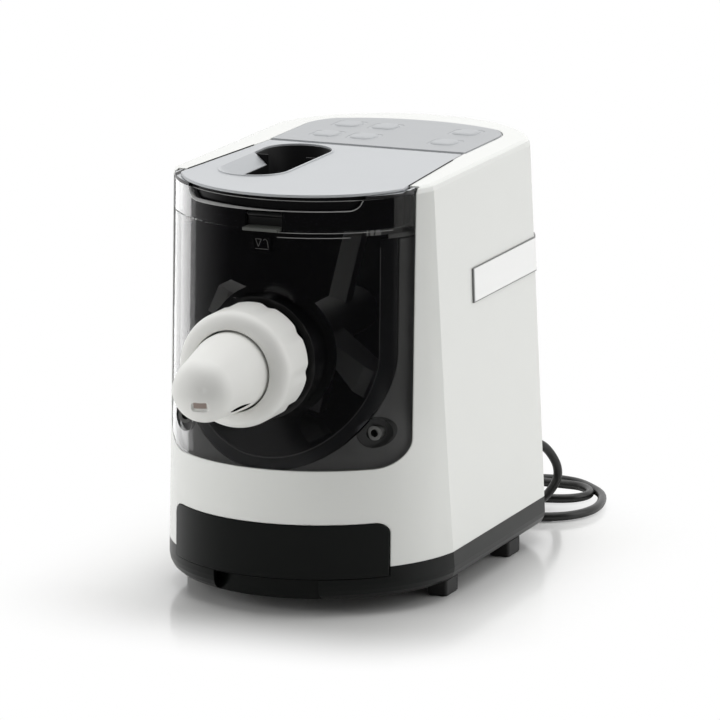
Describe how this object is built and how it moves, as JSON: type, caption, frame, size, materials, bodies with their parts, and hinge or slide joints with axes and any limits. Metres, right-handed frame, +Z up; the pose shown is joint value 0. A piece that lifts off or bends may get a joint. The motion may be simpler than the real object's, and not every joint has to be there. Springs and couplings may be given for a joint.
{
  "type": "electric pasta maker",
  "caption": "Countertop electric pasta maker with a smoked front window, hooded extrusion nozzle in a fluted locking ring, hinged lid with slot hopper, key panel and drawer.",
  "frame": {"origin": "centre of the machine's footprint on the surface it stands on, lead left out", "axes": "+Z up, -Y out of the nozzle, +X to the right for someone facing the nozzle"},
  "size_m": [0.2487, 0.5941, 0.2896],
  "materials": {
    "housing_white": "glossy white",
    "inner_white": "moulded, unpolished",
    "base_black": "satin black",
    "rubber_black": "matt",
    "steel_screws": "plated",
    "inner_grey": "moulded",
    "bezel_grey": "satin grey",
    "steel_turned": "turned",
    "smoke_clear": "tinted, see-through",
    "chamber_clear": "tinted, see-through",
    "food_white": "satin",
    "head_black": "glossy black",
    "die_plastic": "satin",
    "satin_white": "satin white",
    "silver_grey": "satin silver grey",
    "key_grey": "satin silver grey",
    "lid_black": "satin black",
    "latch_grey": "satin light grey",
    "switch_metal": "pressed",
    "board_green": "lacquered board",
    "gear_nylon": "natural nylon",
    "motor_steel": "zinc plated",
    "cord_black": "satin black"
  },
  "bodies": {
    "housing": {"housing_shell": "housing_white", "rear_band": "housing_white", "base_tray": "base_black", "feet": "rubber_black", "foot_screws": "steel_screws", "drawer_bay": "inner_white", "chamber_surround": "inner_white", "front_bezel": "bezel_grey", "locating_studs": "steel_turned", "chamber_gasket": "rubber_black", "mixing_chamber": "chamber_clear", "shaft_seal": "rubber_black", "hinge_pins": "steel_turned", "hinge_lugs": "inner_white", "control_panel": "silver_grey", "key_switches": "switch_metal", "control_board": "board_green", "lid_switch": "lid_black", "bulkhead": "inner_white", "gearbox_case": "inner_grey", "gearbox_cover": "inner_grey", "gearbox_screws": "steel_screws", "idler_shaft": "steel_turned", "motor_can": "motor_steel", "power_board": "board_green", "cord_gland": "cord_black", "cord": "cord_black", "cord_coil": "cord_black", "plug": "cord_black"},
    "drawer": {"storage_drawer": "inner_grey", "drawer_front": "base_black"},
    "lid": {"lid_plate": "silver_grey", "hopper_chute": "lid_black", "lid_frame": "lid_black", "lid_skirt": "smoke_clear", "lid_seal": "rubber_black", "latch_pin": "steel_turned"},
    "latch": {"lid_latch": "latch_grey"},
    "front": {"front_panel": "smoke_clear", "extruder_head": "head_black", "shaping_die": "die_plastic", "die_seal": "rubber_black"},
    "ring": {"locking_ring": "satin_white"},
    "hood": {"nozzle_hood": "satin_white"},
    "agitator": {"output_gear": "gear_nylon", "output_shaft": "steel_turned", "mixing_paddle": "food_white", "auger_screw": "food_white"},
    "idler": {"idler_gear": "gear_nylon"},
    "rotor": {"motor_pinion": "steel_turned", "rotor_shaft": "steel_turned", "cooling_fan": "lid_black"},
    "key_rear_left": {"key_rear_left": "key_grey"},
    "key_rear_middle": {"key_rear_middle": "key_grey"},
    "key_rear_right": {"key_rear_right": "key_grey"},
    "key_front_left": {"key_front_left": "key_grey"},
    "key_front_middle": {"key_front_middle": "key_grey"},
    "key_front_right": {"key_front_right": "key_grey"}
  },
  "joints": [
    {"name": "drawer_slide", "type": "slide", "parent": "housing", "child": "drawer", "axis": [0, -1, 0], "range_m": [0, 0.1]},
    {"name": "lid_hinge", "type": "hinge", "parent": "housing", "child": "lid", "pos_m": [0, 0.0721, 0.2847], "axis": [-1, 0, 0], "range_deg": [0, 84]},
    {"name": "latch_pivot", "type": "hinge", "parent": "lid", "child": "latch", "pos_m": [0, -0.09955, 0.2725], "axis": [-1, 0, 0], "range_deg": [0, 12]},
    {"name": "front_pull_off", "type": "slide", "parent": "housing", "child": "front", "axis": [0, -1, 0], "range_m": [0, 0.03]},
    {"name": "ring_twist", "type": "hinge", "parent": "front", "child": "ring", "pos_m": [0, -0.136, 0.178], "axis": [0, -1, 0], "range_deg": [0, 60]},
    {"name": "hood_pull_off", "type": "slide", "parent": "front", "child": "hood", "axis": [0, -1, 0], "range_m": [0, 0.015]},
    {"name": "agitator_spin", "type": "hinge", "parent": "housing", "child": "agitator", "pos_m": [0, 0.03, 0.178], "axis": [0, 1, 0], "continuous": true},
    {"name": "idler_spin", "type": "hinge", "parent": "housing", "child": "idler", "pos_m": [0.02454, 0.09, 0.14544], "axis": [0, 1, 0], "continuous": true},
    {"name": "rotor_spin", "type": "hinge", "parent": "housing", "child": "rotor", "pos_m": [0, 0.13, 0.11287], "axis": [0, 1, 0], "continuous": true},
    {"name": "key_rear_left_press", "type": "slide", "parent": "housing", "child": "key_rear_left", "axis": [0, 0, -1], "range_m": [0, 0.001], "stiffness_N_per_m": 1500, "springref_m": -0.0004},
    {"name": "key_rear_middle_press", "type": "slide", "parent": "housing", "child": "key_rear_middle", "axis": [0, 0, -1], "range_m": [0, 0.001], "stiffness_N_per_m": 1500, "springref_m": -0.0004},
    {"name": "key_rear_right_press", "type": "slide", "parent": "housing", "child": "key_rear_right", "axis": [0, 0, -1], "range_m": [0, 0.001], "stiffness_N_per_m": 1500, "springref_m": -0.0004},
    {"name": "key_front_left_press", "type": "slide", "parent": "housing", "child": "key_front_left", "axis": [0, 0, -1], "range_m": [0, 0.001], "stiffness_N_per_m": 1500, "springref_m": -0.0004},
    {"name": "key_front_middle_press", "type": "slide", "parent": "housing", "child": "key_front_middle", "axis": [0, 0, -1], "range_m": [0, 0.001], "stiffness_N_per_m": 1500, "springref_m": -0.0004},
    {"name": "key_front_right_press", "type": "slide", "parent": "housing", "child": "key_front_right", "axis": [0, 0, -1], "range_m": [0, 0.001], "stiffness_N_per_m": 1500, "springref_m": -0.0004}
  ],
  "couplings": [
    {"joint": "idler_spin", "follows": "agitator_spin", "ratio": -4},
    {"joint": "rotor_spin", "follows": "agitator_spin", "ratio": 16}
  ]
}
